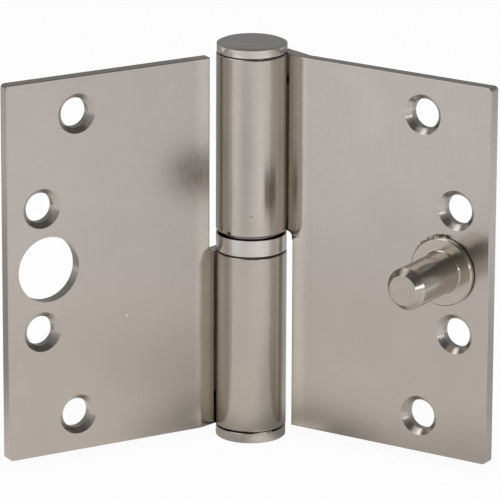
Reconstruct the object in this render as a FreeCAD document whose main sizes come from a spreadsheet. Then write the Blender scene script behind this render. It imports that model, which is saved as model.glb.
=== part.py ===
# A ball bearing butt hinge with two knuckles, one on each leaf, and a security pin.
# Millimetres. The pivot axis is Z and the origin is on it, at the flat end of the bottom cap.
# The frame leaf lies along -X with its countersunk face towards -Y, and the door leaf stands
# open at the rest angle, measured from the closed hinge.
import FreeCAD, Part
import math
import os

import Sketcher

OUT_FOLDER = "parts"
ORIGIN = (-1, 1)
X_AXIS, Y_AXIS = range(-1, -3, -1)
START, END, CENTRE = range(1, 4)

DIMENSIONS = [
    ("leaf_height", 89.0, "height of each leaf"),
    ("leaf_reach", 62.5, "pivot axis to the outer edge of a leaf"),
    ("leaf_sheet", 3.0, "thickness of the sheet"),
    ("face_offset", 1.5, "pivot axis to the countersunk face, half the closed gap"),
    ("outer_corner", 1.0, "radius of the leaf's two outer corners"),
    ("arris", 0.2, "rounding of the sheet's edges"),
    ("knuckle_arris", 0.35, "rounding of the knuckle's ends"),
    ("inner_edge", 10.1, "pivot axis to the leaf's edge beside the other knuckle"),
    ("notch_corner", 1.8, "radius in the corner of that cut-away"),
    ("notch_arris", 0.35, "bevel of the countersunk face along the cut-away"),
    ("crank_start", 12.7, "pivot axis to the bend of the crank, on the back face"),
    ("crank_radius", 5.0, "radius of the bend on the countersunk face"),
    ("crank_land", 3.5, "flat strip that the crank's profile takes in beyond the bend"),
    ("crank_fade", 4.0, "height over which the bend comes in to the inner edge"),
    ("arch_rise", 1.2, "height in that fade at which its arch is set"),
    ("arch_bend", 11.9, "pivot axis to the bend at that height"),
    ("seam_gap", 0.4, "gap between the end of the rolled sheet and the crank"),
    ("barrel_diameter", 16.5, "outer diameter of both knuckles"),
    ("pin_clearance", 0.05, "radial clearance of the pin in the knuckles"),
    ("pin_bevel", 1.0, "bevel at the ends of the hinge pin"),
    ("pin_end_gap", 1.0, "gap between the pin and the top cap's plug"),
    ("outer_hole_margin", 17.83, "leaf's outer edge to the outer pair of screw holes"),
    ("outer_hole_pitch", 71.64, "distance between the outer pair of screw holes"),
    ("inner_hole_margin", 8.78, "leaf's outer edge to the inner pair of screw holes"),
    ("inner_hole_pitch", 29.3, "distance between the inner pair of screw holes"),
    ("screw_hole", 7.0, "diameter of the screw holes"),
    ("screw_sink", 9.4, "diameter of the countersinks at the face"),
    ("dog_hole", 15.4, "diameter of the security hole in the frame leaf"),
    ("dog_hole_margin", 10.44, "leaf's outer edge to the security hole"),
    ("dog_margin", 11.7, "leaf's outer edge to the security pin"),
    ("dog_diameter", 9.8, "diameter of the security pin"),
    ("dog_length", 18.3, "length of the security pin from the leaf's face"),
    ("dog_tip_diameter", 6.9, "diameter of the flat on its tip"),
    ("dog_tip_bevel", 1.7, "length of its bevelled tip"),
    ("dog_collar_diameter", 16.0, "diameter of its collar"),
    ("dog_collar_height", 1.4, "height of its collar"),
    ("dog_collar_edge", 0.3, "bevel round the collar"),
    ("dog_collar_relief", 0.3, "height of the relief under the collar's rim"),
    ("dog_relief_inset", 0.6, "depth of that relief"),
    ("dog_root", 0.25, "rounding where the pin meets its collar"),
    ("dog_tail_diameter", 8.0, "diameter of its tail through the leaf"),
    ("dog_flare", 1.2, "flare of the riveted tail at the back face"),
    ("rivet_clearance", 0.03, "clearance round the tail"),
    ("cap_inset", 0.1, "step from the barrel to a cap"),
    ("cap_neck_inset", 1.1, "step from a cap to the neck under its head"),
    ("cap_gap", 0.35, "gap that the neck leaves between a cap and its knuckle"),
    ("cap_plug", 6.0, "length of a cap's plug in its knuckle"),
    ("cap_edge", 0.1, "bevel round the bottom cap's end"),
    ("cap_slope", 0.8, "width of the sloping edge round the top cap"),
    ("cap_drop", 0.35, "fall of that sloping edge"),
    ("plug_clearance", 0.02, "radial clearance of the plugs"),
    ("top_head", 2.1, "height of the top cap's head"),
    ("bottom_head", 2.35, "height of the bottom cap's head"),
    ("bearing_height", 5.1, "distance between the two knuckles"),
    ("door_lift", 0.6, "height of the door leaf over the frame leaf, on the bearing"),
    ("shell_inset", 0.05, "step from the barrel to the bearing's shell"),
    ("shell_height", 4.25, "height of the shell"),
    ("shell_wall", 0.5, "wall of the shell"),
    ("shell_floor", 0.5, "floor of the shell"),
    ("shell_foot_inset", 0.4, "step from the shell in to its foot"),
    ("shell_foot", 0.45, "height of the shell's foot"),
    ("race_clearance", 0.1, "radial clearance of the races on the pin"),
    ("race_seat", 0.05, "radial clearance of the lower race in the shell"),
    ("race_gap", 0.45, "radial gap of the upper race in the shell"),
    ("lower_race_height", 1.0, "height of the lower race"),
    ("ball_side_gap", 0.15, "gap between a ball and either wall of the channel"),
    ("ball_clearance", 0.05, "clearance between the balls and their grooves"),
    ("ball_spacing", 0.1, "least gap between two balls"),
    ("groove_depth", 0.3, "depth that a ball sits in each race"),
    ("rest_opening", 118.04, "angle between the leaves at rest"),
]

WORKED_OUT = [
    ("outer_hole_reach", "leaf_reach - outer_hole_margin", "pivot axis to the outer screw holes"),
    ("inner_hole_reach", "leaf_reach - inner_hole_margin", "pivot axis to the inner screw holes"),
    ("dog_hole_reach", "leaf_reach - dog_hole_margin", "pivot axis to the security hole"),
    ("dog_reach", "leaf_reach - dog_margin", "pivot axis to the security pin"),
    ("pin_diameter", "barrel_diameter - 2 * (leaf_sheet + pin_clearance)", "hinge pin"),
    ("cap_diameter", "barrel_diameter - 2 * cap_inset", "both caps"),
    ("cap_neck_diameter", "cap_diameter - 2 * cap_neck_inset", "neck under a cap's head"),
    ("shell_diameter", "barrel_diameter - 2 * shell_inset", "bearing's shell"),
    ("channel_inner", "pin_diameter / 2 + race_clearance", "inner radius of the balls' channel"),
    ("channel_outer", "shell_diameter / 2 - shell_wall", "outer radius of the balls' channel"),
    ("ball_diameter", "channel_outer - channel_inner - 2 * ball_side_gap", "one ball"),
]


class Size:
    """A number together with the formula that binds it to the spreadsheet."""

    def __init__(self, value, formula):
        self.value = value
        self.formula = formula

    def joined(self, other, sign, value):
        return Size(value, f"({self.formula} {sign} {other.formula})")

    def __add__(self, other):
        return self.joined(other, "+", self.value + other.value)

    def __sub__(self, other):
        return self.joined(other, "-", self.value - other.value)

    def __mul__(self, factor):
        return Size(self.value * factor, f"({self.formula} * {factor})")

    def __truediv__(self, factor):
        return Size(self.value / factor, f"({self.formula} / {factor})")

    def __neg__(self):
        return Size(-self.value, f"(-{self.formula})")


doc = FreeCAD.newDocument("ball_bearing_butt_hinge")
sheet = doc.addObject("Spreadsheet::Sheet", "dims")
cells = [(alias, str(number), meaning) for alias, number, meaning in DIMENSIONS]
cells += [(alias, f"={formula}", meaning) for alias, formula, meaning in WORKED_OUT]
for row, (alias, content, meaning) in enumerate(cells, start=1):
    sheet.set(f"A{row}", meaning)
    sheet.set(f"B{row}", content)
    sheet.setAlias(f"B{row}", alias)
doc.recompute()


def size(alias):
    """The size with this alias, read from the spreadsheet."""
    return Size(float(sheet.get(alias)), f"dims.{alias}")


# Levels and radii that several pieces share. Levels count from the middle of the leaves.
half_height = size("leaf_height") / 2
back_offset = size("face_offset") + size("leaf_sheet")
bore_radius = size("pin_diameter") / 2 + size("pin_clearance")
barrel_radius = size("barrel_diameter") / 2
knuckle_end = (size("bearing_height") - size("door_lift")) / 2
fade_foot = knuckle_end - size("notch_corner")
fade_end = fade_foot + size("crank_fade")
plug_radius = bore_radius - size("plug_clearance")
middle_height = half_height + size("cap_gap") + size("bottom_head")
door_height = middle_height + size("door_lift")
bearing_foot = middle_height - knuckle_end
race_floor = bearing_foot + size("shell_floor")
race_bore = size("channel_inner")
shell_bore = size("channel_outer")
lower_race_radius = shell_bore - size("race_seat")
ball_radius = size("ball_diameter") / 2
ball_pitch = (race_bore + lower_race_radius) / 2
ball_level = size("lower_race_height") + ball_radius - size("groove_depth")
upper_race_level = ball_level + ball_radius - size("groove_depth")

sub_parts = []


def new_body(label):
    """An empty body, kept in the list of sub-parts to be written."""
    body = doc.addObject("PartDesign::Body", label)
    body.Label = label
    sub_parts.append(body)
    return body


def new_sketch(body, name, role, lift=None):
    """A sketch on one of the body's own planes, lifted along that plane's normal."""
    sketch = body.newObject("Sketcher::SketchObject", f"{body.Name}_{name}")
    base = next(item for item in body.Origin.OriginFeatures if item.Role == role)
    sketch.AttachmentSupport = [(base, "")]
    sketch.MapMode = "FlatFace"
    if lift is not None:
        sketch.setExpression("AttachmentOffset.Base.z", lift.formula)
    return sketch


def line(sketch, start, end):
    """A line between two points, each a pair of numbers."""
    segment = Part.LineSegment(FreeCAD.Vector(*start, 0), FreeCAD.Vector(*end, 0))
    return sketch.addGeometry(segment, False)


def arc(sketch, centre, radius, first, last):
    """An arc, anticlockwise from the first to the last angle, in degrees."""
    circle = Part.Circle(FreeCAD.Vector(*centre, 0), FreeCAD.Vector(0, 0, 1), radius)
    curve = Part.ArcOfCircle(circle, math.radians(first), math.radians(last))
    return sketch.addGeometry(curve, False)


def circle(sketch, centre, radius):
    """A full circle."""
    curve = Part.Circle(FreeCAD.Vector(*centre, 0), FreeCAD.Vector(0, 0, 1), radius)
    return sketch.addGeometry(curve, False)


def hold(sketch, kind, *references):
    """A geometric constraint."""
    return sketch.addConstraint(Sketcher.Constraint(kind, *references))


def fix(sketch, kind, references, amount):
    """A dimension bound to the spreadsheet."""
    index = sketch.addConstraint(Sketcher.Constraint(kind, *references, amount.value))
    sketch.setExpression(f"Constraints[{index}]", amount.formula)


def outline(sketch, corners):
    """A closed polygon whose corners are pairs of sizes. None puts a corner on that axis."""
    points = [[0.0 if part is None else part.value for part in corner] for corner in corners]
    count = len(points)
    sides = [line(sketch, points[i], points[(i + 1) % count]) for i in range(count)]
    for i, (across, up) in enumerate(corners):
        hold(sketch, "Coincident", sides[i - 1], END, sides[i], START)
        if across is None:
            hold(sketch, "PointOnObject", sides[i], START, Y_AXIS)
        else:
            fix(sketch, "DistanceX", (*ORIGIN, sides[i], START), across)
        if up is None:
            hold(sketch, "PointOnObject", sides[i], START, X_AXIS)
        else:
            fix(sketch, "DistanceY", (*ORIGIN, sides[i], START), up)
    return sides


def pad(body, name, sketch, length):
    """Material from a sketch along its normal."""
    feature = body.newObject("PartDesign::Pad", f"{body.Name}_{name}")
    feature.Profile = sketch
    feature.setExpression("Length", length.formula)
    doc.recompute()
    return feature


def revolve(body, name, sketch, kind="PartDesign::Revolution"):
    """A full turn of a sketch about its upright axis."""
    feature = body.newObject(kind, f"{body.Name}_{name}")
    feature.Profile = sketch
    feature.ReferenceAxis = (sketch, ["V_Axis"])
    feature.Angle = 360
    doc.recompute()
    return feature


def edge_names(shape, test):
    """The names of the edges that a test picks out."""
    return [f"Edge{i}" for i, edge in enumerate(shape.Edges, start=1) if test(edge)]


def dress(body, kind, name, test, setting, amount):
    """A fillet or chamfer on the edges that a test picks out."""
    base = body.Tip
    feature = body.newObject(f"PartDesign::{kind}", f"{body.Name}_{name}")
    feature.Base = (base, edge_names(base.Shape, test))
    feature.setExpression(setting, amount.formula)
    doc.recompute()
    return feature


def cut_through(body, name, sketch):
    """A pocket through the sheet, from its countersunk face."""
    before = body.Tip.Shape.Volume
    feature = body.newObject("PartDesign::Pocket", f"{body.Name}_{name}")
    feature.Profile = sketch
    feature.setExpression("Length", size("leaf_sheet").formula)
    doc.recompute()
    if feature.Shape.Volume >= before:
        raise RuntimeError(f"{feature.Name} cut nothing")
    return feature


def crank_slope(bend):
    """The crank's angle to the leaf: its back is tangent to the barrel and meets the bend."""
    away = math.hypot(bend.value, back_offset.value)
    turn = math.atan2(back_offset.value, bend.value)
    return math.degrees(math.asin(barrel_radius.value / away) - turn)


def around(radius, degrees):
    """A point on a circle about the axis."""
    return (radius * math.cos(math.radians(degrees)), radius * math.sin(math.radians(degrees)))


def crank_sketch(body, name, level, bend, bend_radius):
    """The section of the crank, from the back of the barrel to a flat strip of the leaf.

    Both faces leave the barrel on tangents. The back has a sharp bend and the countersunk
    face a rounded one.
    """
    sketch = new_sketch(body, name, "XY_Plane", level)
    slope = crank_slope(bend)
    bore, barrel = bore_radius.value, barrel_radius.value
    face, back = size("face_offset").value, back_offset.value
    land_end = size("crank_start") + size("crank_land")
    leaving = 90 - slope
    inner_tangent = around(bore, leaving)
    outer_tangent = around(barrel, leaving)
    run = (inner_tangent[1] - face) / math.tan(math.radians(slope))
    bend_face = inner_tangent[0] + run + bend_radius.value * math.tan(math.radians(slope / 2))
    bend_centre = (bend_face, face + bend_radius.value)
    tilt = math.radians(slope)
    bend_inner = (
        bend_centre[0] - bend_radius.value * math.sin(tilt),
        bend_centre[1] - bend_radius.value * math.cos(tilt),
    )
    bore_arc = arc(sketch, (0, 0), bore, leaving, 90)
    inner = line(sketch, inner_tangent, bend_inner)
    bend_arc = arc(sketch, bend_centre, bend_radius.value, 270 - slope, 270)
    front = line(sketch, (bend_face, face), (land_end.value, face))
    side = line(sketch, (land_end.value, face), (land_end.value, back))
    rear = line(sketch, (land_end.value, back), (bend.value, back))
    outer = line(sketch, (bend.value, back), outer_tangent)
    barrel_arc = arc(sketch, (0, 0), barrel, leaving, 90)
    root = line(sketch, (0, barrel), (0, bore))
    hold(sketch, "Tangent", bore_arc, START, inner, START)
    hold(sketch, "Tangent", inner, END, bend_arc, START)
    hold(sketch, "Tangent", bend_arc, END, front, START)
    hold(sketch, "Coincident", front, END, side, START)
    hold(sketch, "Coincident", side, END, rear, START)
    hold(sketch, "Coincident", rear, END, outer, START)
    hold(sketch, "Tangent", outer, END, barrel_arc, START)
    hold(sketch, "Coincident", barrel_arc, END, root, START)
    hold(sketch, "Coincident", root, END, bore_arc, END)
    hold(sketch, "Horizontal", front)
    hold(sketch, "Vertical", side)
    hold(sketch, "Horizontal", rear)
    hold(sketch, "Vertical", root)
    hold(sketch, "PointOnObject", root, START, Y_AXIS)
    hold(sketch, "Coincident", bore_arc, CENTRE, *ORIGIN)
    hold(sketch, "Coincident", barrel_arc, CENTRE, *ORIGIN)
    hold(sketch, "Parallel", inner, outer)
    fix(sketch, "Radius", (bore_arc,), bore_radius)
    fix(sketch, "Radius", (barrel_arc,), barrel_radius)
    fix(sketch, "Radius", (bend_arc,), bend_radius)
    fix(sketch, "DistanceY", (*ORIGIN, front, START), size("face_offset"))
    fix(sketch, "DistanceY", (*ORIGIN, rear, START), back_offset)
    fix(sketch, "DistanceX", (*ORIGIN, side, START), land_end)
    fix(sketch, "DistanceX", (*ORIGIN, rear, END), bend)
    return sketch


def curl_sketch(body):
    """The rolled part of the sheet, from the back of the barrel round to the seam.

    Two guide lines repeat the crank's faces, and the sheet's end stops short of the inner one.
    """
    sketch = new_sketch(body, "curl", "XY_Plane", knuckle_end)
    bend = size("crank_start")
    slope = crank_slope(bend)
    bore, barrel = bore_radius.value, barrel_radius.value
    reach = math.acos((bore - size("seam_gap").value) / barrel)
    last = 360 + 90 - slope - math.degrees(reach)
    rise = math.tan(math.radians(slope))
    outer_rise = barrel / math.cos(math.radians(slope))
    inner_rise = bore / math.cos(math.radians(slope))
    bore_arc = arc(sketch, (0, 0), bore, 90, last)
    end_face = line(sketch, around(bore, last), around(barrel, last))
    barrel_arc = arc(sketch, (0, 0), barrel, 90, last)
    root = line(sketch, (0, barrel), (0, bore))
    outer_guide = line(sketch, (0, outer_rise), (bend.value, back_offset.value))
    inner_guide = line(sketch, (0, inner_rise), (bend.value, inner_rise - bend.value * rise))
    sketch.setConstruction(outer_guide, True)
    sketch.setConstruction(inner_guide, True)
    hold(sketch, "Coincident", bore_arc, CENTRE, *ORIGIN)
    hold(sketch, "Coincident", barrel_arc, CENTRE, *ORIGIN)
    hold(sketch, "Coincident", bore_arc, END, end_face, START)
    hold(sketch, "Coincident", end_face, END, barrel_arc, END)
    hold(sketch, "Coincident", barrel_arc, START, root, START)
    hold(sketch, "Coincident", root, END, bore_arc, START)
    hold(sketch, "PointOnObject", root, START, Y_AXIS)
    hold(sketch, "PointOnObject", root, END, Y_AXIS)
    hold(sketch, "PointOnObject", *ORIGIN, end_face)
    hold(sketch, "PointOnObject", outer_guide, START, Y_AXIS)
    hold(sketch, "PointOnObject", inner_guide, START, Y_AXIS)
    hold(sketch, "Tangent", outer_guide, barrel_arc)
    hold(sketch, "Tangent", inner_guide, bore_arc)
    hold(sketch, "Parallel", inner_guide, outer_guide)
    hold(sketch, "Vertical", inner_guide, END, outer_guide, END)
    fix(sketch, "Radius", (bore_arc,), bore_radius)
    fix(sketch, "Radius", (barrel_arc,), barrel_radius)
    fix(sketch, "DistanceX", (*ORIGIN, outer_guide, END), bend)
    fix(sketch, "DistanceY", (*ORIGIN, outer_guide, END), back_offset)
    fix(sketch, "Distance", (end_face, END, inner_guide), size("seam_gap"))
    return sketch


def plate_sketch(body):
    """The flat of the leaf, beside the crank and below it."""
    sketch = new_sketch(body, "plate", "XZ_Plane", -back_offset)
    inner, outer = size("inner_edge"), size("leaf_reach")
    land_end = size("crank_start") + size("crank_land")
    corners = [
        (inner, -half_height),
        (outer, -half_height),
        (outer, half_height),
        (land_end, half_height),
        (land_end, fade_foot),
        (inner, fade_foot),
    ]
    outline(sketch, corners)
    return sketch


def cut_away(body):
    """Clears the room beside the other knuckle, with a rounded corner."""
    sketch = new_sketch(body, "cut_away", "XZ_Plane")
    inner, corner = size("inner_edge"), size("notch_corner")
    far = -size("barrel_diameter")
    level, foot = knuckle_end.value, -half_height.value
    centre = (inner.value - corner.value, level - corner.value)
    base = line(sketch, (far.value, foot), (inner.value, foot))
    side = line(sketch, (inner.value, foot), (inner.value, centre[1]))
    round_corner = arc(sketch, centre, corner.value, 0, 90)
    top = line(sketch, (centre[0], level), (far.value, level))
    end = line(sketch, (far.value, level), (far.value, foot))
    hold(sketch, "Coincident", base, END, side, START)
    hold(sketch, "Tangent", side, END, round_corner, START)
    hold(sketch, "Tangent", round_corner, END, top, START)
    hold(sketch, "Coincident", top, END, end, START)
    hold(sketch, "Coincident", end, END, base, START)
    for edge in (base, top):
        hold(sketch, "Horizontal", edge)
    for edge in (side, end):
        hold(sketch, "Vertical", edge)
    fix(sketch, "DistanceX", (*ORIGIN, side, START), inner)
    fix(sketch, "DistanceX", (*ORIGIN, end, START), far)
    fix(sketch, "DistanceY", (*ORIGIN, base, START), -half_height)
    fix(sketch, "DistanceY", (*ORIGIN, top, END), knuckle_end)
    fix(sketch, "Radius", (round_corner,), corner)
    before = body.Tip.Shape.Volume
    feature = body.newObject("PartDesign::Pocket", f"{body.Name}_cut_away_cut")
    feature.Profile = sketch
    feature.Type = "ThroughAll"
    feature.Midplane = True
    doc.recompute()
    if feature.Shape.Volume >= before:
        raise RuntimeError(f"{feature.Name} cut nothing")


def screw_holes(body):
    """Two pairs of countersunk holes, each pair alike above and below the middle."""
    sketch = new_sketch(body, "screws", "XZ_Plane", -size("face_offset"))
    radius = size("screw_hole") / 2
    pairs = (
        (size("outer_hole_reach"), size("outer_hole_pitch")),
        (size("inner_hole_reach"), size("inner_hole_pitch")),
    )
    for reach, pitch in pairs:
        upper = circle(sketch, (reach.value, pitch.value / 2), radius.value)
        lower = circle(sketch, (reach.value, -pitch.value / 2), radius.value)
        hold(sketch, "Symmetric", lower, CENTRE, upper, CENTRE, X_AXIS)
        fix(sketch, "DistanceX", (*ORIGIN, upper, CENTRE), reach)
        fix(sketch, "DistanceY", (lower, CENTRE, upper, CENTRE), pitch)
        fix(sketch, "Radius", (upper,), radius)
        fix(sketch, "Radius", (lower,), radius)
    before = body.Tip.Shape.Volume
    feature = body.newObject("PartDesign::Hole", f"{body.Name}_screw_holes")
    feature.Profile = sketch
    doc.recompute()
    feature.Threaded = False
    feature.DepthType = "ThroughAll"
    feature.DrillPoint = "Flat"
    feature.HoleCutType = "Countersink"
    feature.HoleCutCustomValues = True
    feature.HoleCutCountersinkAngle = 90
    feature.setExpression("Diameter", size("screw_hole").formula)
    feature.setExpression("HoleCutDiameter", size("screw_sink").formula)
    doc.recompute()
    if feature.Shape.Volume >= before:
        raise RuntimeError(f"{feature.Name} cut nothing")


def single_hole(body, name, reach, radius):
    """One round hole through the leaf at mid-height."""
    sketch = new_sketch(body, name, "XZ_Plane", -size("face_offset"))
    hole = circle(sketch, (reach.value, 0), radius.value)
    hold(sketch, "PointOnObject", hole, CENTRE, X_AXIS)
    fix(sketch, "DistanceX", (*ORIGIN, hole, CENTRE), reach)
    fix(sketch, "Radius", (hole,), radius)
    cut_through(body, f"{name}_cut", sketch)


def near(first, second):
    """Whether two lengths are the same size, to a hundredth of a millimetre."""
    return abs(first - second) < 0.01


def is_outer_corner(edge):
    """The two short edges through the sheet at the leaf's outer corners."""
    box = edge.BoundBox
    return near(box.XLength, 0) and near(box.ZLength, 0) and near(box.XMin, size("leaf_reach").value)


def is_arris(edge):
    """The long edges of both faces round the leaf's outside."""
    box = edge.BoundBox
    faces = (size("face_offset").value, back_offset.value)
    flat = any(near(box.YMin, level) and near(box.YMax, level) for level in faces)
    top = half_height.value
    at_end = near(box.ZLength, 0) and near(abs(box.ZMin), top)
    at_side = near(box.XMax, size("leaf_reach").value)
    return flat and (at_end or at_side)


def is_knuckle_end(edge):
    """The outer edges of the rolled sheet at both ends of the knuckle."""
    box = edge.BoundBox
    ends = (knuckle_end.value, half_height.value)
    at_end = near(box.ZLength, 0) and any(near(box.ZMin, level) for level in ends)
    bend = getattr(edge.Curve, "Radius", 0)
    return at_end and near(bend, barrel_radius.value)


def is_notch_arris(edge):
    """The upright edge of the countersunk face along the cut-away."""
    box = edge.BoundBox
    at_notch = near(box.XMin, size("inner_edge").value) and near(box.XLength, 0)
    at_face = near(box.YMin, size("face_offset").value) and near(box.YLength, 0)
    return at_notch and at_face


def is_round(edge, centre_x, level_y, radius):
    """A full circle that lies flat in the sheet's face."""
    box = edge.BoundBox
    flat = near(box.YMin, level_y) and near(box.YMax, level_y)
    return flat and near(box.Center.x, centre_x) and near(box.XLength, 2 * radius)


def leaf(label):
    """One leaf, drawn as it lies along +X when the hinge is flat, with its knuckle upwards."""
    body = new_body(label)
    knuckle_length = half_height - knuckle_end
    pad(body, "rolled_knuckle", curl_sketch(body), knuckle_length)
    dress(body, "Fillet", "knuckle_ends", is_knuckle_end, "Radius", size("knuckle_arris"))
    wide, tight = size("crank_radius"), size("leaf_sheet")
    full_crank = crank_sketch(body, "full_crank", fade_end, size("crank_start"), wide)
    pad(body, "crank", full_crank, half_height - fade_end)
    low_crank = crank_sketch(body, "low_crank", fade_foot, size("inner_edge"), tight)
    arch = fade_foot + size("arch_rise")
    arch_crank = crank_sketch(body, "arch_crank", arch, size("arch_bend"), (wide + tight) / 2)
    fade = body.newObject("PartDesign::AdditiveLoft", f"{label}_crank_fade")
    fade.Profile = low_crank
    fade.Sections = [arch_crank, full_crank]
    fade.Ruled = True
    doc.recompute()
    pad(body, "flat", plate_sketch(body), size("leaf_sheet"))
    dress(body, "Chamfer", "notch_arris", is_notch_arris, "Size", size("notch_arris"))
    cut_away(body)
    dress(body, "Fillet", "outer_corners", is_outer_corner, "Radius", size("outer_corner"))
    dress(body, "Fillet", "arrises", is_arris, "Radius", size("arris"))
    screw_holes(body)
    return body


def place(body, formula):
    """Binds a body's placement to a formula."""
    body.setExpression("Placement", formula)


def frame_leaf():
    """The leaf with the lower knuckle: the blank turned end for end, with the security hole."""
    body = leaf("frame_leaf")
    single_hole(body, "security_hole", size("dog_hole_reach"), size("dog_hole") / 2)
    place(body, f"placement(vector(0; 0; {middle_height.formula}); rotation(vector(0; 1; 0); 180))")
    return body


def door_leaf():
    """The leaf with the upper knuckle, riveted to the security pin and open at the rest angle."""
    body = leaf("door_leaf")
    reach = size("dog_reach")
    radius = size("dog_tail_diameter") / 2 + size("rivet_clearance")
    single_hole(body, "rivet_hole", reach, radius)

    def is_rivet_mouth(edge):
        return is_round(edge, reach.value, back_offset.value, radius.value)

    dress(body, "Chamfer", "rivet_sink", is_rivet_mouth, "Size", size("dog_flare"))
    turn = "(dims.rest_opening - 180)"
    place(body, f"placement(vector(0; 0; {door_height.formula}); rotation(vector(0; 0; 1); {turn}))")
    return body


def turned(label, corners, level):
    """A piece turned about the pivot axis, with its lower end at this level."""
    body = new_body(label)
    sketch = new_sketch(body, "section", "XZ_Plane")
    outline(sketch, corners)
    revolve(body, "turning", sketch)
    if level is not None:
        body.setExpression("Placement.Base.z", level.formula)
    return body


def bottom_cap():
    """Flat foot, neck and plug, with its end at the origin."""
    edge = size("cap_edge")
    head = size("cap_diameter") / 2
    neck = size("cap_neck_diameter") / 2
    neck_level = size("bottom_head")
    plug_level = neck_level + size("cap_gap")
    plug_end = plug_level + size("cap_plug")
    corners = [
        (None, None),
        (head - edge, None),
        (head, edge),
        (head, neck_level - edge),
        (head - edge, neck_level),
        (neck, neck_level),
        (neck, plug_level),
        (plug_radius, plug_level),
        (plug_radius, plug_end),
        (None, plug_end),
    ]
    return turned("bottom_cap", corners, None)


def top_cap():
    """Plug, neck and a head with a sloping edge, in the end of the upper knuckle."""
    head = size("cap_diameter") / 2
    neck = size("cap_neck_diameter") / 2
    plug = size("cap_plug")
    head_level = plug + size("cap_gap")
    top = head_level + size("top_head")
    corners = [
        (None, None),
        (plug_radius, None),
        (plug_radius, plug),
        (neck, plug),
        (neck, head_level),
        (head, head_level),
        (head, top - size("cap_drop")),
        (head - size("cap_slope"), top),
        (None, top),
    ]
    return turned("top_cap", corners, door_height + half_height - plug)


def hinge_pin():
    """The pin, from the bottom cap's plug to just under the top cap's plug."""
    radius = size("pin_diameter") / 2
    bevel = size("pin_bevel")
    room = size("leaf_height") + size("door_lift")
    length = room - size("cap_plug") * 2 - size("pin_end_gap")
    corners = [
        (None, None),
        (radius - bevel, None),
        (radius, bevel),
        (radius, length - bevel),
        (radius - bevel, length),
        (None, length),
    ]
    return turned("hinge_pin", corners, middle_height - half_height + size("cap_plug"))


def bearing_shell():
    """The cup that shows between the knuckles and holds the races and balls."""
    radius = size("shell_diameter") / 2
    foot = size("shell_foot")
    floor = size("shell_floor")
    corners = [
        (race_bore, None),
        (radius - size("shell_foot_inset"), None),
        (radius - size("shell_foot_inset"), foot),
        (radius, foot),
        (radius, size("shell_height")),
        (shell_bore, size("shell_height")),
        (shell_bore, floor),
        (race_bore, floor),
    ]
    return turned("bearing_shell", corners, bearing_foot)


def groove(body, level):
    """A round groove for the balls, centred on their pitch circle at this level."""
    sketch = new_sketch(body, "raceway", "XZ_Plane")
    radius = ball_radius + size("ball_clearance")
    ring = circle(sketch, (ball_pitch.value, level.value), radius.value)
    fix(sketch, "DistanceX", (*ORIGIN, ring, CENTRE), ball_pitch)
    fix(sketch, "DistanceY", (*ORIGIN, ring, CENTRE), level)
    fix(sketch, "Radius", (ring,), radius)
    before = body.Tip.Shape.Volume
    feature = revolve(body, "raceway_cut", sketch, "PartDesign::Groove")
    if feature.Shape.Volume >= before:
        raise RuntimeError(f"{feature.Name} cut nothing")


def ring(label, outer, height, level):
    """A plain washer on the hinge pin."""
    corners = [(race_bore, None), (outer, None), (outer, height), (race_bore, height)]
    return turned(label, corners, level)


def lower_race():
    """The grooved washer on the floor of the shell."""
    body = ring("lower_race", lower_race_radius, size("lower_race_height"), race_floor)
    groove(body, ball_level)
    return body


def upper_race():
    """The grooved washer under the upper knuckle, proud of the shell."""
    height = size("bearing_height") - size("shell_floor") - upper_race_level
    body = ring("upper_race", shell_bore - size("race_gap"), height, race_floor + upper_race_level)
    groove(body, ball_level - upper_race_level)
    return body


def balls():
    """A full ring of balls, as many as the pitch circle takes."""
    step = (size("ball_diameter") + size("ball_spacing")).value
    count = int(math.pi / math.asin(step / (2 * ball_pitch.value)))
    for number in range(count):
        label = f"ball_{number + 1:02d}"
        ball = doc.addObject("Part::Sphere", label)
        ball.Label = label
        ball.setExpression("Radius", ball_radius.formula)
        turn = f"({number} * 360deg / {count})"
        ball.setExpression("Placement.Base.x", f"{ball_pitch.formula} * cos{turn}")
        ball.setExpression("Placement.Base.y", f"{ball_pitch.formula} * sin{turn}")
        ball.setExpression("Placement.Base.z", (race_floor + ball_level).formula)
        sub_parts.append(ball)


def security_pin():
    """Tail, collar and bevelled pin in one turning, standing on the door leaf's face."""
    tail = size("dog_tail_diameter") / 2
    flare = size("dog_flare")
    collar = size("dog_collar_diameter") / 2
    collar_edge = size("dog_collar_edge")
    relief = size("dog_collar_relief")
    pin = size("dog_diameter") / 2
    tip = size("dog_tip_diameter") / 2
    sheet_level = size("leaf_sheet")
    collar_top = sheet_level + size("dog_collar_height")
    top = sheet_level + size("dog_length")
    root = size("dog_root")
    corners = [
        (None, None),
        (tail + flare, None),
        (tail, flare),
        (tail, sheet_level),
        (collar - size("dog_relief_inset"), sheet_level),
        (collar - size("dog_relief_inset"), sheet_level + relief),
        (collar, sheet_level + relief),
        (collar, collar_top - collar_edge),
        (collar - collar_edge, collar_top),
        (pin + root, collar_top),
        (pin, collar_top + root),
        (pin, top - size("dog_tip_bevel")),
        (tip, top),
        (None, top),
    ]
    body = turned("security_pin", corners, None)
    seat = f"vector({size('dog_reach').formula}; {back_offset.formula}; 0)"
    place(body, f"door_leaf.Placement * placement({seat}; rotation(vector(1; 0; 0); 90))")
    return body


def write_parts():
    """Checks every object of the document and every shape, then writes one file a sub-part."""
    doc.recompute()
    for item in doc.Objects:
        if "Invalid" in item.State or "Error" in item.State:
            raise RuntimeError(f"{item.Name} failed: {item.State}")
    for item in sub_parts:
        if item.Shape.isNull() or not item.Shape.isValid():
            raise RuntimeError(f"{item.Label} has no valid shape")
        if len(item.Shape.Solids) != 1:
            raise RuntimeError(f"{item.Label} has {len(item.Shape.Solids)} solids")
    os.makedirs(OUT_FOLDER, exist_ok=True)
    for item in sub_parts:
        item.Shape.exportStep(os.path.join(OUT_FOLDER, f"{item.Label}.step"))


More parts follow.
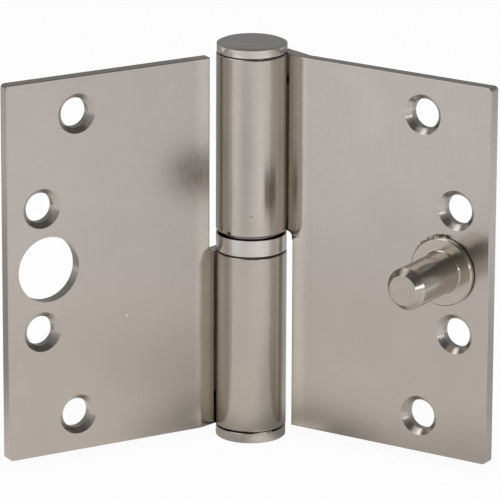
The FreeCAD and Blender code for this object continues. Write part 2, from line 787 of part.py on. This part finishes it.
frame_leaf()
door_leaf()
bottom_cap()
top_cap()
hinge_pin()
bearing_shell()
lower_race()
upper_race()
balls()
security_pin()
write_parts()
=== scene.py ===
"""A satin nickel ball bearing butt hinge: finishes, floor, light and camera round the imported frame.

Metres, in the frame of the solid model: the pivot is Z, the frame leaf lies along -X with its
countersunk face towards -Y, and the door leaf stands open at its rest angle.
"""

import math

import bpy
import numpy as np
from mathutils import Matrix, Vector


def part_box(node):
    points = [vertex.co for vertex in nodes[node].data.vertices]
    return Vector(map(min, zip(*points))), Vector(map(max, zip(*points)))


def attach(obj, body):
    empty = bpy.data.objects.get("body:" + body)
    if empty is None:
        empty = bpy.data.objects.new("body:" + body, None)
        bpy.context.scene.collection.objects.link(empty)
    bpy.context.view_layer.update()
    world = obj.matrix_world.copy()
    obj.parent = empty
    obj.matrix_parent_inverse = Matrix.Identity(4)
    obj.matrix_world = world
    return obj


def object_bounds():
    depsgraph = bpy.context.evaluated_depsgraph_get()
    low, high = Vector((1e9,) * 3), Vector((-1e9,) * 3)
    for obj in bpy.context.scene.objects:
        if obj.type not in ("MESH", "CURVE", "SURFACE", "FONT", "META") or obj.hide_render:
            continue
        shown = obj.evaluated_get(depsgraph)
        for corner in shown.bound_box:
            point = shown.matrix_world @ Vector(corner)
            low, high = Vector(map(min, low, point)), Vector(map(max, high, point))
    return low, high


MM = 0.001
ORIGIN = (0.0, 0.0, 0.0)
EVEN = (1.0, 1.0, 1.0)
WHITE = (1.0, 1.0, 1.0, 1.0)

# A size so large that the axis it is given to no longer counts in a distance.
IGNORED = 1.0e6

# The camera, fitted to the leaf edges, the screw holes and the barrel of the photograph.
IMAGE_SIDE = 500
SENSOR_WIDTH = 36.0
FOCAL_PIXELS = 5118.2
AZIMUTH = math.radians(-29.644)
ELEVATION = math.radians(16.913)
ROLL = math.radians(0.242)
DISTANCE = 1187.75 * MM
AIM_ACROSS = -0.291 * MM
AIM_UP = -2.531 * MM
CLIP_NEAR = 0.05
CLIP_FAR = 50.0

# The leaves with their turn about the pivot at rest, and the security pin on the door leaf: how
# far along the leaf it stands, its collar's radius and the level of the collar's front.
LEAF_TURN = math.radians(118.04 - 180.0)
LEAVES = {"frame_leaf": math.pi, "door_leaf": LEAF_TURN}
PIN_REACH = 50.8 * MM
COLLAR_RADIUS = 8.0 * MM
COLLAR_FRONT = 0.1 * MM
TURNED_NODES = ("bottom_cap", "bearing_shell")

# Beads of pushed-up metal on the collar and on the bottom cap: the arc from its first to its last
# degree in a number of steps, where the tube's middle runs, and how thick the tube is.
TUBE_POINTS = 13
COLLAR_ARC = (-54.0, 12.0, 133)
COLLAR_OUT = 0.16 * MM
COLLAR_WANDER = 0.10 * MM
COLLAR_WIGGLE = 0.07 * MM
COLLAR_LIFT = 0.35 * MM
COLLAR_WAVE = 0.12 * MM
COLLAR_THICK = 0.24 * MM
COLLAR_SWELL = 0.07 * MM
COLLAR_GRIT = 0.06 * MM
FOOT_ARC = (4.0, 40.0, 73)
FOOT_RADIUS = 8.0 * MM
FOOT_HEIGHT = 2.43 * MM
FOOT_THICK = 0.19 * MM
FOOT_SWELL = 0.03 * MM

# Colours are linear, as the shader takes them. Hues multiply them.
SATIN_NICKEL = (0.513, 0.472, 0.436)
TURNED_NICKEL = (0.660, 0.625, 0.590)
PIN_NICKEL = (0.472, 0.434, 0.382)
BEARING_CHROME = (0.200, 0.195, 0.190)
KNUCKLE_HUE = (1.0, 1.004, 0.980, 1.0)
CLOUD_TINT = 0.06

# Grain: the stretch of its noise, the noise's scale and its detail. Lines have no stretch.
UPRIGHT_GRAIN = ((1.0, 1.0, 0.25), 1500.0, 4.0)
TURNING_GRAIN = ((0.2, 0.2, 8.0), 900.0, 4.0)
FINE_GRAIN = (EVEN, 1200.0, 4.0)
BRUSH_GRAIN = ((0.05, 0.9, 1.0), 900.0, 3.0)
BRUSH_TURN = AZIMUTH + math.radians(5.0)
CLOUDS = (EVEN, 60.0, 3.0)
HOLE_LINES = (5500.0, 2.0)
PIN_LINES = (2800.0, 2.0)
PIN_LENGTH_SHARE = 0.6
HOLE_LINE_DEPTH = 0.020 * MM

# Most values of a noise lie in this range, and are spread over a range of shares or tones.
NOISE_RANGE = (0.3, 0.7)
CLOUD_SPREAD = (0.25, 0.75)
CAP_SPREAD = (0.86, 1.12)
SHELL_SPREAD = (0.93, 1.06)
PIN_SPREAD = (0.93, 1.07)

# Zones with a smooth edge: where the edge begins and ends, and the value before and after it.
# Gaps, shell foot, bends and flats go by distance from the pivot, the collar by distance from the
# security pin's axis, the holes by distance along a leaf, and the cap's end by how far a face
# looks up.
# Painted sheen: the bends between knuckle and leaf are painted paler.
BEND_SHEEN = 1.18
# Painted shade: the gaps inside the knuckles are painted dark.
GAP_SHADE_ZONE = (7.90 * MM, 8.20 * MM, 0.12, 1.0)
# Painted shade: the narrow foot of the bearing's shell is painted dark.
SHELL_FOOT_SHADE_ZONE = (7.90 * MM, 8.05 * MM, 0.15, 1.0)
BEND_SHEEN_ZONES = ((8.4 * MM, 9.2 * MM, 1.0, BEND_SHEEN), (12.0 * MM, 15.0 * MM, 1.0, 1.0 / BEND_SHEEN))
FLAT_ZONE = (11.0 * MM, 15.0 * MM, 0.0, 1.0)
COLLAR_ZONE = (4.9 * MM, 5.3 * MM, 1.0, 1.08)
HOLES_ZONE = (25.0 * MM, 36.0 * MM, 0.0, 1.0)
END_ZONE = (0.5, 0.8, 0.0, 1.0)

# Small marks of wear: place, width, height and tone. They are a nick and a notch low on the upper
# knuckle, and a speck and a fainter one on the frame leaf. A mark fades from this share of its size.
MARKS = (
    ((-4.16 * MM, -7.12 * MM, 55.11 * MM), 0.60 * MM, 0.24 * MM, 0.64),
    ((-7.66 * MM, -3.06 * MM, 50.45 * MM), 0.75 * MM, 0.85 * MM, 0.15),
    ((-31.91 * MM, 1.5 * MM, 33.27 * MM), 0.36 * MM, 0.30 * MM, 1.55),
    ((-19.45 * MM, 1.5 * MM, 23.85 * MM), 0.36 * MM, 0.30 * MM, 1.15),
)
MARK_FADE = 0.4

# What the floor shows to the camera and to metal. Metal sees painted shadow behind the hinge, and in
# round spots painted shade and painted light: the angle to the right of the camera, the distance, the
# radii at which the spot begins and ends to fade, and its tone. Each row names where the camera mostly
# sees the spot mirrored. Metal also sees the floor painted warmer near the hinge, as painted bounce
# light.
FLOOR_HALF = 6.0
FLOOR_WHITE = 0.90
FLOOR_GLOW_CAMERA = 0.94
FLOOR_GLOW_METAL = 0.88
FLOOR_LEVEL = 0.90
# Painted shadow on the floor behind the hinge, seen only in the metal.
SIDE_TURN = -26.0
SIDE_SHADOW_ZONE = (-0.07, 0.06, 0.58, 1.0)
# Painted shade and painted pools of light on the floor, seen only in the metal.
FLOOR_PAINTED_SPOTS = (
    (65.0, 0.016, 0.008, 0.024, 0.62),  # right of the barrel's foot, and the door leaf's foot
    (0.0, 0.0, 0.010, 0.034, 0.50),  # foot of the barrel and of both leaves
    (24.0, 0.0113, 0.001, 0.008, 2.90),  # bottom cap, right of its middle, and the door leaf's foot
    (56.0, 0.052, 0.010, 0.045, 0.78),  # frame leaf, low beside the knuckle, and the door leaf's foot
    (-106.0, 0.17, 0.05, 0.125, 0.42),  # outer edge of the frame leaf
    (104.0, 0.29, 0.05, 0.16, 1.70),  # outer edge of the door leaf
    (-42.0, 0.125, 0.02, 0.11, 0.92),  # door leaf, in its middle
    (-18.0, 0.26, 0.03, 0.13, 0.68),  # upper knuckle, left of its middle
    (28.0, 0.24, 0.02, 0.10, 1.28),  # upper knuckle, right of its middle
    (-60.0, 0.27, 0.05, 0.15, 1.10),  # door leaf, its upper half
)
# Painted warm bounce light on the floor near the hinge, seen only in the metal.
WARM_BOUNCE_ZONE = (0.02, 0.20, 0.0, 1.0)
WARM_BOUNCE_NEAR = (1.0, 0.960, 0.905, 1.0)
WARM_BOUNCE_FAR = (0.99, 0.978, 0.995, 1.0)

# Dark surroundings for the metal: greys go by height.
DOME_RADIUS = 3.0
DOME_ZONE = (0.0, 0.7 * DOME_RADIUS, 0.52, 0.12)
CARD_BEHIND = 0.14
CARD_HALF = 0.30
CARD_TOP = 0.38
CARD_ZONE = (0.05, 0.11, 0.34, 0.26)

# Lamps: name, angle to the right of the camera, elevation, width, height, power, and whether
# metal mirrors the lamp. All stand at one distance from a point on the pivot.
WORLD_LIGHT = 0.40
LAMP_DISTANCE = 1.2
LAMP_AIM = Vector((0.0, 0.0, 0.045))
LAMPS = (
    ("box_above", 0.0, 62.0, 1.0, 1.0, 5.0, False),
    ("box_left", -62.0, 42.0, 1.1, 1.0, 4.2, True),
    ("box_right", 45.0, 42.0, 0.6, 0.9, 3.2, False),
    ("box_low", 34.0, 9.0, 0.30, 0.16, 0.6, True),
    ("box_back", -104.0, 58.0, 0.80, 0.60, 0.9, True),
)

# The two inputs and the output of a mix, by what it mixes.
MIX_SOCKETS = {"FLOAT": (2, 3, 0), "RGBA": (6, 7, 2)}


def shader_node(tree, kind, **settings):
    """A new node with some of its own settings."""
    item = tree.nodes.new(kind)
    for name, value in settings.items():
        setattr(item, name, value)
    return item


def feed(tree, value, target):
    """Gives a socket its value: a link from another socket, or a constant."""
    if isinstance(value, bpy.types.NodeSocket):
        tree.links.new(value, target)
    else:
        target.default_value = value


def number_of(tree, operation, first, second, **settings):
    """Two numbers, combined."""
    item = shader_node(tree, "ShaderNodeMath", operation=operation, **settings)
    feed(tree, first, item.inputs[0])
    feed(tree, second, item.inputs[1])
    return item.outputs[0]


def product(tree, values):
    """Multiplies numbers."""
    total = values[0]
    for value in values[1:]:
        total = number_of(tree, "MULTIPLY", total, value)
    return total


def mixed(tree, kind, share, first, second):
    """A mix of two numbers or two colours."""
    item = shader_node(tree, "ShaderNodeMix", data_type=kind)
    at_first, at_second, at_result = MIX_SOCKETS[kind]
    feed(tree, share, item.inputs[0])
    feed(tree, first, item.inputs[at_first])
    feed(tree, second, item.inputs[at_second])
    return item.outputs[at_result]


def ranged(tree, kind, value, low, high, low_value, high_value):
    """Maps one range of a number to another."""
    item = shader_node(tree, "ShaderNodeMapRange", interpolation_type=kind)
    item.inputs["From Min"].default_value = low
    item.inputs["From Max"].default_value = high
    item.inputs["To Min"].default_value = low_value
    item.inputs["To Max"].default_value = high_value
    feed(tree, value, item.inputs["Value"])
    return item.outputs["Result"]


def zone_of(tree, value, zone):
    """A smooth step from one value to another."""
    return ranged(tree, "SMOOTHSTEP", value, *zone)


def spread(tree, noise, target):
    """Spreads a noise over a range."""
    return ranged(tree, "LINEAR", noise, *NOISE_RANGE, *target)


def measure(tree, vector, operation, other=None):
    """A vector's length, its distance to a point or its length along a direction."""
    item = shader_node(tree, "ShaderNodeVectorMath", operation=operation)
    feed(tree, vector, item.inputs[0])
    if other:
        feed(tree, other, item.inputs[1])
    return item.outputs["Value"]


def object_place(tree):
    """The object's own coordinates."""
    return shader_node(tree, "ShaderNodeTexCoord").outputs["Object"]


def own_place(tree, centre, turn, size):
    """The object's own coordinates, from a centre, along axes turned about Z, in units of a size."""
    mapping = shader_node(tree, "ShaderNodeMapping", vector_type="TEXTURE")
    mapping.inputs["Location"].default_value = centre
    mapping.inputs["Rotation"].default_value = (0.0, 0.0, turn)
    mapping.inputs["Scale"].default_value = size
    feed(tree, object_place(tree), mapping.inputs["Vector"])
    return mapping.outputs["Vector"]


def pivot_distance(tree):
    """Distance from the pivot."""
    return measure(tree, own_place(tree, ORIGIN, 0.0, (1.0, 1.0, IGNORED)), "LENGTH")


def pin_centre():
    """Where the security pin's axis crosses the plane through the pivot."""
    low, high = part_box("security_pin")
    return (PIN_REACH * math.cos(LEAF_TURN), PIN_REACH * math.sin(LEAF_TURN), (low.z + high.z) / 2)


def pin_distance(tree):
    """Distance from the security pin's axis."""
    return measure(tree, own_place(tree, pin_centre(), LEAF_TURN, (1.0, IGNORED, 1.0)), "LENGTH")


def stretched_noise(tree, stretch, scale, detail, turn=0.0):
    """Noise on the object's own coordinates, stretched along the grain."""
    noise = shader_node(tree, "ShaderNodeTexNoise")
    noise.inputs["Scale"].default_value = scale
    noise.inputs["Detail"].default_value = detail
    size = [1.0 / part for part in stretch]
    feed(tree, own_place(tree, ORIGIN, turn, size), noise.inputs["Vector"])
    return noise.outputs["Fac"]


def line_noise(tree, value, scale, detail):
    """Noise along one number."""
    noise = shader_node(tree, "ShaderNodeTexNoise", noise_dimensions="1D")
    noise.inputs["Scale"].default_value = scale
    noise.inputs["Detail"].default_value = detail
    feed(tree, value, noise.inputs["W"])
    return noise.outputs["Fac"]


def upright_grain(tree):
    """The leaves' fine grain along the pivot."""
    return stretched_noise(tree, *UPRIGHT_GRAIN)


def turning_lines(tree):
    """Lines that run round the pivot."""
    return stretched_noise(tree, *TURNING_GRAIN)


def fine_grain(tree):
    """Even fine grain."""
    return stretched_noise(tree, *FINE_GRAIN)


def brush_lines(tree):
    """Straight brush lines over the end of the cap."""
    return stretched_noise(tree, *BRUSH_GRAIN, BRUSH_TURN)


def cap_lines(tree):
    """Turning lines round the cap, and straight brush lines over its end."""
    facing = shader_node(tree, "ShaderNodeNewGeometry").outputs["Normal"]
    end = zone_of(tree, measure(tree, facing, "DOT_PRODUCT", (0.0, 0.0, 1.0)), END_ZONE)
    return mixed(tree, "FLOAT", end, turning_lines(tree), brush_lines(tree))


def pin_lines(tree):
    """Turning lines about the security pin's axis, by radius on its faces and by length on its sides."""
    along = own_place(tree, pin_centre(), LEAF_TURN, EVEN)
    length = measure(tree, along, "DOT_PRODUCT", (0.0, PIN_LENGTH_SHARE, 0.0))
    return line_noise(tree, number_of(tree, "ADD", length, pin_distance(tree)), *PIN_LINES)


def hole_lines(turn):
    """Turned rings in the holes of a leaf, by depth below its face, away from the knuckle."""
    def lines(tree):
        place = own_place(tree, ORIGIN, turn, EVEN)
        depth = measure(tree, place, "DOT_PRODUCT", (0.0, 1.0, 0.0))
        reach = measure(tree, place, "DOT_PRODUCT", (1.0, 0.0, 0.0))
        return product(tree, [line_noise(tree, depth, *HOLE_LINES), zone_of(tree, reach, HOLES_ZONE)])
    return lines


def cap_tone(tree):
    """The cap is a little streaked along its brush lines."""
    return spread(tree, brush_lines(tree), CAP_SPREAD)


def shell_streaks_and_shade(tree):
    """Turned metal is streaked along its lines, and painted shade darkens the narrow foot of the
    bearing's shell.
    """
    foot = zone_of(tree, pivot_distance(tree), SHELL_FOOT_SHADE_ZONE)
    return product(tree, [foot, spread(tree, turning_lines(tree), SHELL_SPREAD)])


def pin_tone(tree):
    """The collar is a little paler than the pin, and both are streaked along their lines."""
    paler = zone_of(tree, pin_distance(tree), COLLAR_ZONE)
    return product(tree, [paler, spread(tree, pin_lines(tree), PIN_SPREAD)])


def leaf_tone_shade_and_sheen(tree):
    """The leaves' hue and tone.

    The knuckles and the bends are yellower than the flat leaves, the gaps of the knuckles are darkened
    with painted shade, the bends are a little paler as a painted sheen, and the small marks of wear have
    tones of their own.
    """
    away = pivot_distance(tree)
    hue = mixed(tree, "RGBA", zone_of(tree, away, FLAT_ZONE), KNUCKLE_HUE, WHITE)
    # The gaps get painted shade and the bends a painted sheen; the marks are wear.
    tones_and_shades = [zone_of(tree, away, zone) for zone in (GAP_SHADE_ZONE, *BEND_SHEEN_ZONES)]
    for place, wide, high, tone in MARKS:
        near = measure(tree, own_place(tree, place, AZIMUTH, (wide, wide, high)), "LENGTH")
        tones_and_shades.append(zone_of(tree, near, (MARK_FADE, 1.0, tone, 1.0)))
    scaled = shader_node(tree, "ShaderNodeVectorMath", operation="SCALE")
    feed(tree, hue, scaled.inputs[0])
    feed(tree, product(tree, tones_and_shades), scaled.inputs["Scale"])
    return scaled.outputs[0]


def relief_of(tree, height, depth):
    """A bump of some depth from a height."""
    item = shader_node(tree, "ShaderNodeBump")
    item.inputs["Strength"].default_value = 1.0
    item.inputs["Distance"].default_value = depth
    feed(tree, height, item.inputs["Height"])
    return item


def metal(name, colour, roughness, grain, depth, tone=None, rings=None):
    """A metal with cloudy colour, grained roughness and a fine grain in relief."""
    material = bpy.data.materials.new(name)
    material.use_nodes = True
    tree = material.node_tree
    shader = tree.nodes["Principled BSDF"]
    shader.inputs["Metallic"].default_value = 1.0
    lines = grain(tree)
    cloud = spread(tree, stretched_noise(tree, *CLOUDS), CLOUD_SPREAD)
    darker = (*[part * (1.0 - CLOUD_TINT) for part in colour], 1.0)
    paler = (*[part * (1.0 + CLOUD_TINT) for part in colour], 1.0)
    painted = mixed(tree, "RGBA", cloud, darker, paler)
    if tone:
        toned = shader_node(tree, "ShaderNodeVectorMath", operation="MULTIPLY")
        feed(tree, painted, toned.inputs[0])
        feed(tree, tone(tree), toned.inputs[1])
        painted = toned.outputs[0]
    feed(tree, painted, shader.inputs["Base Color"])
    feed(tree, spread(tree, lines, roughness), shader.inputs["Roughness"])
    relief = relief_of(tree, lines, depth)
    if rings:
        under = relief_of(tree, rings(tree), HOLE_LINE_DEPTH)
        feed(tree, under.outputs["Normal"], relief.inputs["Normal"])
    feed(tree, relief.outputs["Normal"], shader.inputs["Normal"])
    return material


def dress(nodes, names, material):
    """Gives CAD nodes one material."""
    for name in names:
        slots = nodes[name].data.materials
        slots.clear()
        slots.append(material)


def grid_mesh(name, points):
    """A surface through a grid of points, given as rows of columns of x, y and z."""
    rows, columns = points.shape[:2]
    first = (np.arange(rows - 1)[:, None] * columns + np.arange(columns - 1)[None, :]).ravel()
    faces = np.stack([first, first + 1, first + columns + 1, first + columns], axis=1)
    mesh = bpy.data.meshes.new(name)
    mesh.from_pydata(points.reshape(-1, 3).tolist(), [], faces.tolist())
    mesh.shade_smooth()
    return mesh


def new_object(name, data):
    """A new object in the scene."""
    item = bpy.data.objects.new(name, data)
    bpy.context.scene.collection.objects.link(item)
    return item


def bead_grid(first, last, steps):
    """Angles along a bead as a column, angles round its tube as a row, and its taper as a column.

    The taper is sqrt(sin(pi s)) for s from 0 to 1 along the bead, so both ends come to a point.
    """
    along = np.radians(np.linspace(first, last, steps))[:, None]
    around = np.linspace(0.0, 2 * np.pi, TUBE_POINTS)[None, :]
    taper = np.sqrt(np.sin(np.pi * np.linspace(0.0, 1.0, steps)))[:, None]
    return along, around, taper


def add_bead(name, x, y, z, finish, body):
    """A bead of metal that rides on a body."""
    bead = new_object(name, grid_mesh(name, np.stack([x, y, z], axis=2)))
    bead.data.materials.append(finish)
    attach(bead, body)


def build_collar_burr(finish):
    """The rough bead that was pushed up along the top left of the security pin's collar.

    A tube along an arc of the collar's rim. At the angle t from the top its middle is outside the
    collar's radius by out + wander sin(17 t) + wiggle sin(43 t + 1), and behind the collar's front
    by lift + wave sin(23 t). The tube's own radius is thick + swell sin(29 t) + grit sin(61 t + 2),
    tapered to a point at both ends.
    """
    t, around, taper = bead_grid(*COLLAR_ARC)
    out = COLLAR_OUT + COLLAR_WANDER * np.sin(17 * t) + COLLAR_WIGGLE * np.sin(43 * t + 1.0)
    thick = COLLAR_THICK + COLLAR_SWELL * np.sin(29 * t) + COLLAR_GRIT * np.sin(61 * t + 2.0)
    lift = COLLAR_LIFT + COLLAR_WAVE * np.sin(23 * t)
    reach = COLLAR_RADIUS + out + thick * taper * np.cos(around)
    level = COLLAR_FRONT + lift + thick * taper * np.sin(around)
    along = reach * np.sin(t)
    x0, y0, z0 = pin_centre()
    x = x0 + along * math.cos(LEAF_TURN) - level * math.sin(LEAF_TURN)
    y = y0 + along * math.sin(LEAF_TURN) + level * math.cos(LEAF_TURN)
    z = z0 + reach * np.cos(t)
    add_bead("collar_burr", x, y, z, finish, "door_side")


def build_foot_burr(finish):
    """The thin bright bead on the bottom cap's upper edge, at the front.

    A tube along an arc about the pivot. At the angle t to the right of the camera its middle is at
    one radius and one height, and the tube's own radius is thick + swell sin(31 t), tapered to a
    point at both ends.
    """
    t, around, taper = bead_grid(*FOOT_ARC)
    thick = (FOOT_THICK + FOOT_SWELL * np.sin(31 * t)) * taper
    reach = FOOT_RADIUS + thick * np.cos(around)
    x = reach * np.sin(AZIMUTH + t)
    y = -reach * np.cos(AZIMUTH + t)
    z = FOOT_HEIGHT + thick * np.sin(around)
    add_bead("foot_burr", x, y, z, finish, "frame_side")


def build_camera():
    """The photograph's camera, aimed near the middle of the barrel."""
    low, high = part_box("frame_leaf")
    middle = (low.z + high.z) / 2
    across = Vector((math.cos(AZIMUTH), math.sin(AZIMUTH), 0.0))
    flat = Vector((math.sin(AZIMUTH), -math.cos(AZIMUTH), 0.0))
    back = flat * math.cos(ELEVATION) + Vector((0, 0, math.sin(ELEVATION)))
    upward = back.cross(across)
    right = across * math.cos(ROLL) + upward * math.sin(ROLL)
    top = upward * math.cos(ROLL) - across * math.sin(ROLL)
    aim = across * AIM_ACROSS + Vector((0, 0, middle + AIM_UP))
    data = bpy.data.cameras.new("photo_camera")
    data.sensor_width = SENSOR_WIDTH
    data.lens = FOCAL_PIXELS / IMAGE_SIDE * SENSOR_WIDTH
    data.clip_start = CLIP_NEAR
    data.clip_end = CLIP_FAR
    camera = new_object("photo_camera", data)
    turn = Matrix((right, top, back)).transposed().to_4x4()
    camera.matrix_world = Matrix.Translation(aim + back * DISTANCE) @ turn
    bpy.context.scene.camera = camera


def ray_share(tree, *kinds):
    """1 for some kinds of ray, and 0 for the others."""
    path = shader_node(tree, "ShaderNodeLightPath")
    total = path.outputs[kinds[0]]
    for kind in kinds[1:]:
        total = number_of(tree, "ADD", total, path.outputs[kind], use_clamp=True)
    return total


def aside(turn, out):
    """A point on the floor, by its angle to the right of the camera and its distance."""
    a = AZIMUTH + math.radians(turn)
    return (math.sin(a) * out, -math.cos(a) * out, 0.0)


def floor_painted_light(tree):
    """Floor glow: white for the camera, and for metal painted shade and painted light by place on the
    floor.
    """
    place = object_place(tree)
    tones_and_shades = [FLOOR_LEVEL]
    tones_and_shades.append(zone_of(tree, measure(tree, place, "DOT_PRODUCT", aside(SIDE_TURN, 1.0)), SIDE_SHADOW_ZONE))
    for turn, out, near, far, tone in FLOOR_PAINTED_SPOTS:
        away = measure(tree, place, "DISTANCE", aside(turn, out))
        tones_and_shades.append(zone_of(tree, away, (near, far, tone, 1.0)))
    return mixed(tree, "FLOAT", ray_share(tree, "Is Glossy Ray"), 1.0, product(tree, tones_and_shades))


def floor_painted_bounce(tree):
    """White for the camera. For metal the floor is painted warmer near the hinge, as painted bounce
    light from it.
    """
    far = zone_of(tree, measure(tree, object_place(tree), "DISTANCE", ORIGIN), WARM_BOUNCE_ZONE)
    warm = mixed(tree, "RGBA", far, WARM_BOUNCE_NEAR, WARM_BOUNCE_FAR)
    return mixed(tree, "RGBA", ray_share(tree, "Is Glossy Ray"), WHITE, warm)


def empty_tree(owner):
    """An owner's node tree, with no nodes in it."""
    owner.use_nodes = True
    owner.node_tree.nodes.clear()
    return owner.node_tree


def floor_material():
    """Pale matt floor. The camera sees it nearly white, and metal sees its shade with painted light and
    shade.
    """
    material = bpy.data.materials.new("pale_floor")
    tree = empty_tree(material)
    matt = shader_node(tree, "ShaderNodeBsdfDiffuse")
    matt.inputs["Color"].default_value = (FLOOR_WHITE, FLOOR_WHITE, FLOOR_WHITE, 1.0)
    glow = shader_node(tree, "ShaderNodeEmission")
    feed(tree, floor_painted_light(tree), glow.inputs["Strength"])
    feed(tree, floor_painted_bounce(tree), glow.inputs["Color"])
    seen = number_of(tree, "MULTIPLY", ray_share(tree, "Is Camera Ray"), FLOOR_GLOW_CAMERA)
    glossy = ray_share(tree, "Is Glossy Ray", "Is Transmission Ray")
    mirrored = number_of(tree, "MULTIPLY", glossy, FLOOR_GLOW_METAL)
    mix = shader_node(tree, "ShaderNodeMixShader")
    out = shader_node(tree, "ShaderNodeOutputMaterial")
    feed(tree, number_of(tree, "ADD", seen, mirrored, use_clamp=True), mix.inputs[0])
    feed(tree, matt.outputs[0], mix.inputs[1])
    feed(tree, glow.outputs[0], mix.inputs[2])
    feed(tree, mix.outputs[0], out.inputs["Surface"])
    return material


def build_floor():
    """A wide pale floor under the bottom cap: x and y run over its half width, at one height."""
    steps = np.linspace(-FLOOR_HALF, FLOOR_HALF, 3)
    x, y = np.meshgrid(steps, steps)
    floor = new_object("floor", grid_mesh("floor", np.stack([x, y, np.zeros_like(x)], axis=2)))
    floor.location.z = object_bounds()[0][2]
    floor.data.materials.append(floor_material())


def build_world():
    """Pale surroundings for the camera and for metal, and a weaker light from them."""
    world = bpy.data.worlds.new("studio")
    bpy.context.scene.world = world
    tree = empty_tree(world)
    light = shader_node(tree, "ShaderNodeBackground")
    light.inputs["Strength"].default_value = WORLD_LIGHT
    pale = shader_node(tree, "ShaderNodeBackground")
    pale.inputs["Strength"].default_value = 1.0
    mix = shader_node(tree, "ShaderNodeMixShader")
    out = shader_node(tree, "ShaderNodeOutputWorld")
    seen = ray_share(tree, "Is Camera Ray", "Is Glossy Ray", "Is Transmission Ray")
    feed(tree, seen, mix.inputs[0])
    feed(tree, light.outputs[0], mix.inputs[1])
    feed(tree, pale.outputs[0], mix.inputs[2])
    feed(tree, mix.outputs[0], out.inputs["Surface"])


def add_shade(name, points, zone):
    """A dark surface round the set that only metal sees. Its grey goes by height."""
    card = new_object(name, grid_mesh(name, points))
    material = bpy.data.materials.new(name)
    tree = empty_tree(material)
    height = measure(tree, object_place(tree), "DOT_PRODUCT", (0.0, 0.0, 1.0))
    glow = shader_node(tree, "ShaderNodeEmission")
    out = shader_node(tree, "ShaderNodeOutputMaterial")
    feed(tree, zone_of(tree, height, zone), glow.inputs["Strength"])
    feed(tree, glow.outputs[0], out.inputs["Surface"])
    card.data.materials.append(material)
    card.visible_camera = False
    card.visible_diffuse = False
    card.visible_shadow = False
    card.visible_transmission = False


def build_shades():
    """A dim dome over the set, and a card that stands behind the hinge.

    The dome is r (cos e cos a, cos e sin a, sin e). The card is a plane across the view, at a
    distance behind the pivot.
    """
    turn, rise = np.meshgrid(np.linspace(0, 2 * np.pi, 49), np.linspace(0, np.pi / 2, 17))
    ball = np.stack([np.cos(rise) * np.cos(turn), np.cos(rise) * np.sin(turn), np.sin(rise)], axis=2)
    add_shade("dome", ball * DOME_RADIUS, DOME_ZONE)
    across, up = np.meshgrid(np.linspace(-CARD_HALF, CARD_HALF, 5), np.linspace(0, CARD_TOP, 5))
    x = across * math.cos(AZIMUTH) - CARD_BEHIND * math.sin(AZIMUTH)
    y = across * math.sin(AZIMUTH) + CARD_BEHIND * math.cos(AZIMUTH)
    add_shade("card", np.stack([x, y, up], axis=2), CARD_ZONE)


def build_light():
    """Soft boxes round the hinge, each turned towards one point on the pivot."""
    for name, turn, elevation, width, height, power, mirrored in LAMPS:
        data = bpy.data.lights.new(name, "AREA")
        data.shape = "RECTANGLE"
        data.size = width
        data.size_y = height
        data.energy = power
        lamp = new_object(name, data)
        lamp.visible_glossy = mirrored
        rise = math.radians(elevation)
        way = Vector(aside(turn, math.cos(rise))) + Vector((0, 0, math.sin(rise)))
        lamp.location = LAMP_AIM + way * LAMP_DISTANCE
        lamp.rotation_euler = way.to_track_quat("Z", "Y").to_euler()


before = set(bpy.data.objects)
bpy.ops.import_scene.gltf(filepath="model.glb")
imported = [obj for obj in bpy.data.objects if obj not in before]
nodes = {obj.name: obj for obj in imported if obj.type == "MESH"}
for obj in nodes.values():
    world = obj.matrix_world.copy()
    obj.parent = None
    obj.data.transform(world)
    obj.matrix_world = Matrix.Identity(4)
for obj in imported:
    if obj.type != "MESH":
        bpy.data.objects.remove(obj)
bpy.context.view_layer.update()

leaf_finish = {
    name: metal(name + "_steel", SATIN_NICKEL, roughness=(0.18, 0.23), grain=upright_grain,
                depth=0.002 * MM, tone=leaf_tone_shade_and_sheen, rings=hole_lines(turn))
    for name, turn in LEAVES.items()
}
turned_finish = metal("turned_steel", TURNED_NICKEL, roughness=(0.16, 0.24), grain=turning_lines,
                      depth=0.0045 * MM, tone=shell_streaks_and_shade)
cap_finish = metal("cap_steel", TURNED_NICKEL, roughness=(0.16, 0.26), grain=cap_lines,
                   depth=0.008 * MM, tone=cap_tone)
pin_finish = metal("pin_steel", PIN_NICKEL, roughness=(0.15, 0.23), grain=pin_lines,
                   depth=0.006 * MM, tone=pin_tone)
bearing_finish = metal("bearing_steel", BEARING_CHROME, roughness=(0.05, 0.10), grain=fine_grain,
                       depth=0.001 * MM)

for name, finish in leaf_finish.items():
    dress(nodes, (name,), finish)
dress(nodes, TURNED_NODES, turned_finish)
dress(nodes, ("top_cap",), cap_finish)
dress(nodes, ("security_pin", "hinge_pin"), pin_finish)
dress(nodes, [n for n in nodes if n.startswith("ball_") or n.endswith("_race")], bearing_finish)
build_collar_burr(pin_finish)
build_foot_burr(turned_finish)

build_camera()
build_floor()
build_world()
build_shades()
build_light()
bpy.context.scene.view_settings.view_transform = "Standard"
